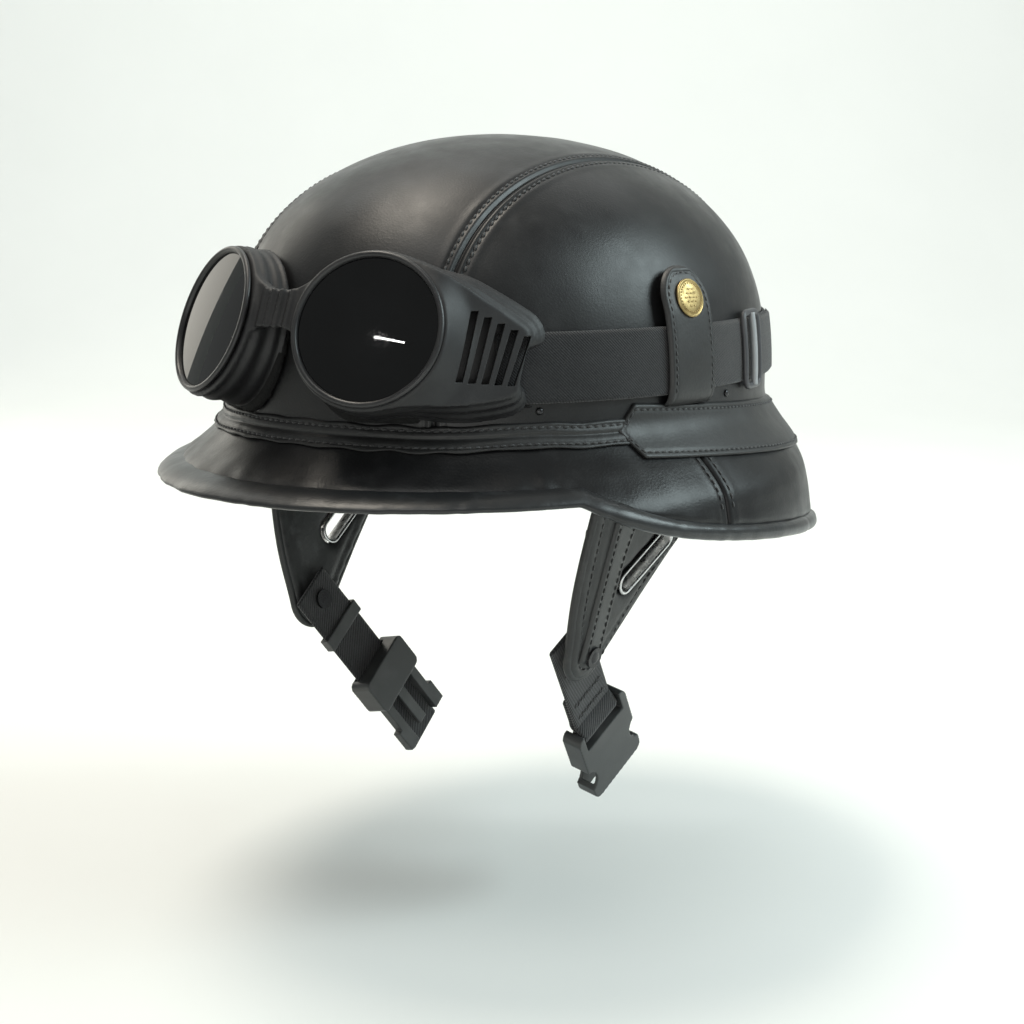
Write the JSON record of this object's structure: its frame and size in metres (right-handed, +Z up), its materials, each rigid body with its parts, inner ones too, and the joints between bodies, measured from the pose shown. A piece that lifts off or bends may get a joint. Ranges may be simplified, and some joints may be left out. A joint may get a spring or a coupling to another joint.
{
  "type": "motorcycle helmet",
  "caption": "Brimmed half helmet covered in stitched leather, with strapped-on goggles, padded ear flaps and a chin strap with a side-release buckle.",
  "frame": {"origin": "the point of the inner crown that rests on the top of the wearer's head", "axes": "-Y is where the wearer looks, +X is the wearer's left, +Z is up"},
  "size_m": [0.276, 0.3268, 0.2955],
  "materials": {
    "shell_laminate": "satin moulded fibreglass",
    "crown_leather": "smooth black leather, soft sheen",
    "brim_leather": "smooth black leather, soft sheen",
    "lining_leather": "matt black lining leather",
    "edge_roll": "glossy rolled edge binding",
    "foam": "dark foam behind cloth",
    "liner_cloth": "quilted black cloth",
    "elastic": "fine black twill elastic",
    "webbing": "black woven webbing",
    "goggle_rubber": "matt black moulded rubber",
    "goggle_bezel": "satin black plastic",
    "gasket_foam": "matt foam rubber",
    "dark_lens": "dark smoked lens, glossy",
    "snap_brass": "antique brass",
    "rivet_steel": "blackened steel",
    "slider_plastic": "satin black plastic",
    "flap_leather": "soft grey-black leather",
    "slot_metal": "polished metal rim",
    "buckle_plastic": "satin grey-black plastic"
  },
  "bodies": {
    "helmet": {"shell": "shell_laminate", "crown_panel_center": "crown_leather", "crown_panel_left": "crown_leather", "crown_panel_right": "crown_leather", "brim_cover_front": "brim_leather", "brim_cover_rear": "brim_leather", "brim_lining": "lining_leather", "edge_rim": "edge_roll", "rear_band": "crown_leather", "seam_tape": "crown_leather", "foam_liner": "foam", "comfort_liner": "liner_cloth", "head_band": "lining_leather", "strap_rear": "elastic", "snap_stud_left": "snap_brass", "snap_stud_right": "snap_brass", "flap_hinge_left": "webbing", "flap_hinge_right": "webbing", "anchor_rivets": "rivet_steel"},
    "strap_slider": {"strap_slider": "slider_plastic"},
    "tab_left": {"strap_tab_left": "crown_leather", "snap_cap_left": "snap_brass"},
    "tab_right": {"strap_tab_right": "crown_leather", "snap_cap_right": "snap_brass"},
    "front_strap": {"strap_front_left": "elastic", "strap_front_right": "elastic"},
    "goggles": {"goggle_frame": "goggle_rubber", "goggle_gasket_left": "gasket_foam", "goggle_gasket_right": "gasket_foam", "lens_left": "dark_lens", "lens_right": "dark_lens", "lens_bezel_left": "goggle_bezel", "lens_bezel_right": "goggle_bezel"},
    "flap_left": {"ear_flap_left": "flap_leather", "slot_rim_left": "slot_metal", "flap_facing_left": "flap_leather", "flap_rivet_left": "rivet_steel"},
    "flap_right": {"ear_flap_right": "flap_leather", "slot_rim_right": "slot_metal", "flap_facing_right": "flap_leather", "flap_rivet_right": "rivet_steel"},
    "chin_left": {"chin_webbing_left": "webbing"},
    "socket": {"buckle_socket": "buckle_plastic"},
    "chin_right": {"chin_webbing_right": "webbing", "webbing_keeper": "slider_plastic"},
    "plug": {"buckle_plug": "buckle_plastic"},
    "prong_rear": {"plug_prong_rear": "buckle_plastic"},
    "prong_front": {"plug_prong_front": "buckle_plastic"}
  },
  "joints": [
    {"name": "goggles_raise", "type": "hinge", "parent": "helmet", "child": "front_strap", "pos_m": [0, -0.018, -0.0645], "axis": [-1, 0, 0], "range_deg": [0, 20]},
    {"name": "goggles_pull", "type": "slide", "parent": "front_strap", "child": "goggles", "axis": [0, -1, 0], "range_m": [0, 0.04], "stiffness_N_per_m": 150, "springref_m": -0.02, "deforming": ["strap_front_left", "strap_front_right"]},
    {"name": "slider_slide", "type": "slide", "parent": "helmet", "child": "strap_slider", "axis": [-0.2104, 0.9776, 0], "range_m": [-0.008, 0.008]},
    {"name": "tab_left_open", "type": "hinge", "parent": "helmet", "child": "tab_left", "pos_m": [0.11534, -0.018, -0.081], "axis": [0, 1, 0], "range_deg": [0, 120]},
    {"name": "tab_right_open", "type": "hinge", "parent": "helmet", "child": "tab_right", "pos_m": [-0.11534, -0.018, -0.081], "axis": [0, -1, 0], "range_deg": [0, 120]},
    {"name": "flap_left_fold", "type": "hinge", "parent": "helmet", "child": "flap_left", "pos_m": [0.0978, 0, -0.098], "axis": [0, -1, 0], "range_deg": [-12, 12]},
    {"name": "flap_right_fold", "type": "hinge", "parent": "helmet", "child": "flap_right", "pos_m": [-0.0978, 0, -0.098], "axis": [0, 1, 0], "range_deg": [-12, 12]},
    {"name": "chin_left_swing", "type": "hinge", "parent": "flap_left", "child": "chin_left", "pos_m": [0.07867, -0.044, -0.18799], "axis": [0.9781, 0, -0.2079], "range_deg": [-65, 18]},
    {"name": "chin_right_swing", "type": "hinge", "parent": "flap_right", "child": "chin_right", "pos_m": [-0.07867, -0.044, -0.18799], "axis": [0.9781, 0, 0.2079], "range_deg": [-65, 18]},
    {"name": "socket_pivot", "type": "hinge", "parent": "chin_left", "child": "socket", "pos_m": [0.0643, -0.01461, -0.22629], "axis": [0.1222, 0.809, 0.5749], "range_deg": [-75, 75]},
    {"name": "plug_adjust", "type": "slide", "parent": "chin_right", "child": "plug", "axis": [-0.1682, -0.5878, 0.7913], "range_m": [0, 0.02]},
    {"name": "prong_rear_squeeze", "type": "hinge", "parent": "plug", "child": "prong_rear", "pos_m": [-0.05965, 0.00273, -0.22796], "axis": [-0.9781, 0, -0.2079], "range_deg": [0, 6], "stiffness_Nm_per_rad": 0.08, "springref_deg": -1.72},
    {"name": "prong_front_squeeze", "type": "hinge", "parent": "plug", "child": "prong_front", "pos_m": [-0.05659, -0.01749, -0.24234], "axis": [0.9781, 0, 0.2079], "range_deg": [0, 6], "stiffness_Nm_per_rad": 0.08, "springref_deg": -1.72}
  ]
}
